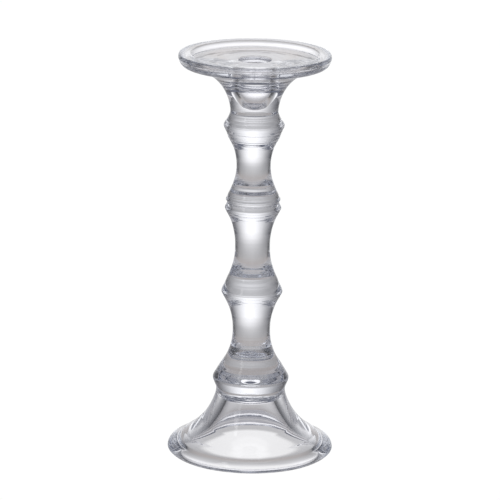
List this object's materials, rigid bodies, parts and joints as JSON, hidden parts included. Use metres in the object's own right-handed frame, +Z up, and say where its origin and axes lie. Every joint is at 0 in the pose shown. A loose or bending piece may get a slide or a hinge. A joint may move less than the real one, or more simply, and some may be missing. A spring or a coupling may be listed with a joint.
{
  "type": "candlestick",
  "caption": "Tall clear glass candlestick: hollow bell foot, solid bamboo-pattern stem, and a rimmed dish that takes a taper candle in its socket or a pillar candle on its floor.",
  "frame": {"origin": "centre of the ring that the foot stands on, on the surface it stands on", "axes": "+Z up along the axis of the stem, from the foot to the dish; X and Y are alike, because every piece is a body of revolution"},
  "size_m": [0.1212, 0.1212, 0.3],
  "materials": {
    "foot_glass": "Clear colourless pressed glass with a fire-polished surface, faintly cool in thick sections.",
    "collar_glass": "Clear colourless pressed glass with a fire-polished surface, faintly cool in thick sections.",
    "stem_glass": "Clear colourless pressed glass with a fire-polished surface, faintly cool in thick sections.",
    "dish_glass": "Clear colourless pressed glass with a fire-polished surface, faintly cool in thick sections.",
    "clear_bond": "Water-clear cured resin film with a few trapped bubbles near its edge."
  },
  "bodies": {
    "root": {"foot": "foot_glass", "foot_collar": "collar_glass", "lower_stem": "stem_glass", "stem_bond": "clear_bond", "upper_stem": "stem_glass", "candle_dish": "dish_glass"}
  },
  "joints": []
}
